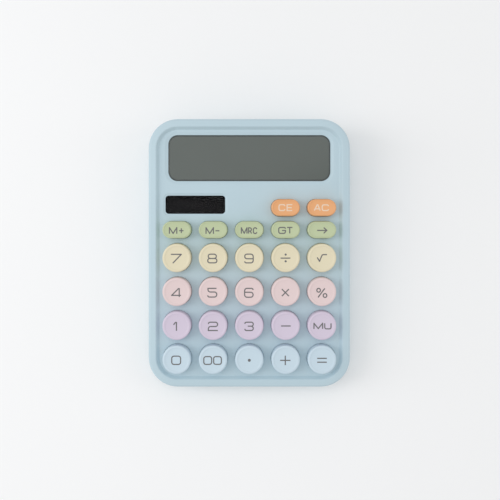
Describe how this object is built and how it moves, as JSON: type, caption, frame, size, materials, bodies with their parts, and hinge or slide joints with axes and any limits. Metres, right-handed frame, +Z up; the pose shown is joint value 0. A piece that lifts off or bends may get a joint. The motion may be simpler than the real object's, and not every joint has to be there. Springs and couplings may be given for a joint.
{
  "type": "desk calculator",
  "caption": "Wedge-shaped desk calculator with a smoky display window, a solar cell, round and bar-shaped sprung keys and a sliding battery door.",
  "frame": {"origin": "on the desk, under the middle of the case", "axes": "+X to the user's right, +Y from the user towards the display, +Z up; the face slopes 5.5 degrees, rising towards +Y"},
  "size_m": [0.11, 0.1482, 0.0301],
  "materials": {
    "case": "fine satin moulding, pale blue",
    "key_sky": "satin, pale blue",
    "key_lilac": "satin, lilac",
    "key_pink": "satin, pale pink",
    "key_yellow": "satin, pale yellow",
    "key_green": "satin, sage green",
    "key_orange": "satin, soft orange",
    "foot_rubber": "matt",
    "screw_steel": "zinc plated",
    "smoky_window": "smoke-tinted clear plastic, gloss",
    "clear_window": "clear plastic, gloss",
    "solar_cell": "dark amorphous cell on glass",
    "lcd_glass": "clear",
    "lcd_film": "polarizing film",
    "inner_plastic": "plain moulding",
    "connector_rubber": "silicone with carbon layers",
    "board": "glass-fibre board with solder mask",
    "keypad_rubber": "silicone",
    "carbon": "conductive rubber",
    "epoxy": "black epoxy drop",
    "capacitor_sleeve": "shrink sleeve",
    "resistor_body": "lacquered",
    "diode_glass": "glass body",
    "battery_can": "printed steel can, plain",
    "contact_steel": "nickel plated spring steel",
    "wire_red": "PVC insulation",
    "wire_black": "PVC insulation"
  },
  "bodies": {
    "case": {"top_case": "case", "bottom_case": "case", "feet": "foot_rubber", "display_window": "smoky_window", "solar_window": "clear_window", "solar_cell": "solar_cell", "lcd_glass": "lcd_glass", "lcd_polarizer": "lcd_film", "lcd_reflector": "lcd_film", "lcd_frame": "inner_plastic", "zebra_strips": "connector_rubber", "circuit_board": "board", "board_screws": "screw_steel", "case_screws": "screw_steel", "rubber_keypad": "keypad_rubber", "carbon_pills": "carbon", "chip_blob": "epoxy", "capacitor": "capacitor_sleeve", "resistors": "resistor_body", "diodes": "diode_glass", "battery": "battery_can", "battery_spring": "contact_steel", "battery_plate": "contact_steel", "battery_wire_red": "wire_red", "battery_wire_black": "wire_black", "solar_wire_red": "wire_red", "solar_wire_black": "wire_black"},
    "battery_door": {"battery_door": "case"},
    "key_0": {"key_0": "key_sky"},
    "key_00": {"key_00": "key_sky"},
    "key_point": {"key_point": "key_sky"},
    "key_plus": {"key_plus": "key_sky"},
    "key_equals": {"key_equals": "key_sky"},
    "key_1": {"key_1": "key_lilac"},
    "key_2": {"key_2": "key_lilac"},
    "key_3": {"key_3": "key_lilac"},
    "key_minus": {"key_minus": "key_lilac"},
    "key_mu": {"key_mu": "key_lilac"},
    "key_4": {"key_4": "key_pink"},
    "key_5": {"key_5": "key_pink"},
    "key_6": {"key_6": "key_pink"},
    "key_multiply": {"key_multiply": "key_pink"},
    "key_percent": {"key_percent": "key_pink"},
    "key_7": {"key_7": "key_yellow"},
    "key_8": {"key_8": "key_yellow"},
    "key_9": {"key_9": "key_yellow"},
    "key_divide": {"key_divide": "key_yellow"},
    "key_sqrt": {"key_sqrt": "key_yellow"},
    "key_m_plus": {"key_m_plus": "key_green"},
    "key_m_minus": {"key_m_minus": "key_green"},
    "key_mrc": {"key_mrc": "key_green"},
    "key_gt": {"key_gt": "key_green"},
    "key_arrow": {"key_arrow": "key_green"},
    "key_ce": {"key_ce": "key_orange"},
    "key_ac": {"key_ac": "key_orange"}
  },
  "joints": [
    {"name": "key_0_press", "type": "slide", "parent": "case", "child": "key_0", "axis": [0, 0.0958, -0.9954], "range_m": [0, 0.0015], "stiffness_N_per_m": 400, "springref_m": -0.0005, "deforming": ["rubber_keypad", "carbon_pills"]},
    {"name": "key_00_press", "type": "slide", "parent": "case", "child": "key_00", "axis": [0, 0.0958, -0.9954], "range_m": [0, 0.0015], "stiffness_N_per_m": 400, "springref_m": -0.0005, "deforming": ["rubber_keypad", "carbon_pills"]},
    {"name": "key_point_press", "type": "slide", "parent": "case", "child": "key_point", "axis": [0, 0.0958, -0.9954], "range_m": [0, 0.0015], "stiffness_N_per_m": 400, "springref_m": -0.0005, "deforming": ["rubber_keypad", "carbon_pills"]},
    {"name": "key_plus_press", "type": "slide", "parent": "case", "child": "key_plus", "axis": [0, 0.0958, -0.9954], "range_m": [0, 0.0015], "stiffness_N_per_m": 400, "springref_m": -0.0005, "deforming": ["rubber_keypad", "carbon_pills"]},
    {"name": "key_equals_press", "type": "slide", "parent": "case", "child": "key_equals", "axis": [0, 0.0958, -0.9954], "range_m": [0, 0.0015], "stiffness_N_per_m": 400, "springref_m": -0.0005, "deforming": ["rubber_keypad", "carbon_pills"]},
    {"name": "key_1_press", "type": "slide", "parent": "case", "child": "key_1", "axis": [0, 0.0958, -0.9954], "range_m": [0, 0.0015], "stiffness_N_per_m": 400, "springref_m": -0.0005, "deforming": ["rubber_keypad", "carbon_pills"]},
    {"name": "key_2_press", "type": "slide", "parent": "case", "child": "key_2", "axis": [0, 0.0958, -0.9954], "range_m": [0, 0.0015], "stiffness_N_per_m": 400, "springref_m": -0.0005, "deforming": ["rubber_keypad", "carbon_pills"]},
    {"name": "key_3_press", "type": "slide", "parent": "case", "child": "key_3", "axis": [0, 0.0958, -0.9954], "range_m": [0, 0.0015], "stiffness_N_per_m": 400, "springref_m": -0.0005, "deforming": ["rubber_keypad", "carbon_pills"]},
    {"name": "key_minus_press", "type": "slide", "parent": "case", "child": "key_minus", "axis": [0, 0.0958, -0.9954], "range_m": [0, 0.0015], "stiffness_N_per_m": 400, "springref_m": -0.0005, "deforming": ["rubber_keypad", "carbon_pills"]},
    {"name": "key_mu_press", "type": "slide", "parent": "case", "child": "key_mu", "axis": [0, 0.0958, -0.9954], "range_m": [0, 0.0015], "stiffness_N_per_m": 400, "springref_m": -0.0005, "deforming": ["rubber_keypad", "carbon_pills"]},
    {"name": "key_4_press", "type": "slide", "parent": "case", "child": "key_4", "axis": [0, 0.0958, -0.9954], "range_m": [0, 0.0015], "stiffness_N_per_m": 400, "springref_m": -0.0005, "deforming": ["rubber_keypad", "carbon_pills"]},
    {"name": "key_5_press", "type": "slide", "parent": "case", "child": "key_5", "axis": [0, 0.0958, -0.9954], "range_m": [0, 0.0015], "stiffness_N_per_m": 400, "springref_m": -0.0005, "deforming": ["rubber_keypad", "carbon_pills"]},
    {"name": "key_6_press", "type": "slide", "parent": "case", "child": "key_6", "axis": [0, 0.0958, -0.9954], "range_m": [0, 0.0015], "stiffness_N_per_m": 400, "springref_m": -0.0005, "deforming": ["rubber_keypad", "carbon_pills"]},
    {"name": "key_multiply_press", "type": "slide", "parent": "case", "child": "key_multiply", "axis": [0, 0.0958, -0.9954], "range_m": [0, 0.0015], "stiffness_N_per_m": 400, "springref_m": -0.0005, "deforming": ["rubber_keypad", "carbon_pills"]},
    {"name": "key_percent_press", "type": "slide", "parent": "case", "child": "key_percent", "axis": [0, 0.0958, -0.9954], "range_m": [0, 0.0015], "stiffness_N_per_m": 400, "springref_m": -0.0005, "deforming": ["rubber_keypad", "carbon_pills"]},
    {"name": "key_7_press", "type": "slide", "parent": "case", "child": "key_7", "axis": [0, 0.0958, -0.9954], "range_m": [0, 0.0015], "stiffness_N_per_m": 400, "springref_m": -0.0005, "deforming": ["rubber_keypad", "carbon_pills"]},
    {"name": "key_8_press", "type": "slide", "parent": "case", "child": "key_8", "axis": [0, 0.0958, -0.9954], "range_m": [0, 0.0015], "stiffness_N_per_m": 400, "springref_m": -0.0005, "deforming": ["rubber_keypad", "carbon_pills"]},
    {"name": "key_9_press", "type": "slide", "parent": "case", "child": "key_9", "axis": [0, 0.0958, -0.9954], "range_m": [0, 0.0015], "stiffness_N_per_m": 400, "springref_m": -0.0005, "deforming": ["rubber_keypad", "carbon_pills"]},
    {"name": "key_divide_press", "type": "slide", "parent": "case", "child": "key_divide", "axis": [0, 0.0958, -0.9954], "range_m": [0, 0.0015], "stiffness_N_per_m": 400, "springref_m": -0.0005, "deforming": ["rubber_keypad", "carbon_pills"]},
    {"name": "key_sqrt_press", "type": "slide", "parent": "case", "child": "key_sqrt", "axis": [0, 0.0958, -0.9954], "range_m": [0, 0.0015], "stiffness_N_per_m": 400, "springref_m": -0.0005, "deforming": ["rubber_keypad", "carbon_pills"]},
    {"name": "key_m_plus_press", "type": "slide", "parent": "case", "child": "key_m_plus", "axis": [0, 0.0958, -0.9954], "range_m": [0, 0.0015], "stiffness_N_per_m": 400, "springref_m": -0.0005, "deforming": ["rubber_keypad", "carbon_pills"]},
    {"name": "key_m_minus_press", "type": "slide", "parent": "case", "child": "key_m_minus", "axis": [0, 0.0958, -0.9954], "range_m": [0, 0.0015], "stiffness_N_per_m": 400, "springref_m": -0.0005, "deforming": ["rubber_keypad", "carbon_pills"]},
    {"name": "key_mrc_press", "type": "slide", "parent": "case", "child": "key_mrc", "axis": [0, 0.0958, -0.9954], "range_m": [0, 0.0015], "stiffness_N_per_m": 400, "springref_m": -0.0005, "deforming": ["rubber_keypad", "carbon_pills"]},
    {"name": "key_gt_press", "type": "slide", "parent": "case", "child": "key_gt", "axis": [0, 0.0958, -0.9954], "range_m": [0, 0.0015], "stiffness_N_per_m": 400, "springref_m": -0.0005, "deforming": ["rubber_keypad", "carbon_pills"]},
    {"name": "key_arrow_press", "type": "slide", "parent": "case", "child": "key_arrow", "axis": [0, 0.0958, -0.9954], "range_m": [0, 0.0015], "stiffness_N_per_m": 400, "springref_m": -0.0005, "deforming": ["rubber_keypad", "carbon_pills"]},
    {"name": "key_ce_press", "type": "slide", "parent": "case", "child": "key_ce", "axis": [0, 0.0958, -0.9954], "range_m": [0, 0.0015], "stiffness_N_per_m": 400, "springref_m": -0.0005, "deforming": ["rubber_keypad", "carbon_pills"]},
    {"name": "key_ac_press", "type": "slide", "parent": "case", "child": "key_ac", "axis": [0, 0.0958, -0.9954], "range_m": [0, 0.0015], "stiffness_N_per_m": 400, "springref_m": -0.0005, "deforming": ["rubber_keypad", "carbon_pills"]},
    {"name": "battery_door_slide", "type": "slide", "parent": "case", "child": "battery_door", "axis": [0, 1, 0], "range_m": [0, 0.028]}
  ]
}
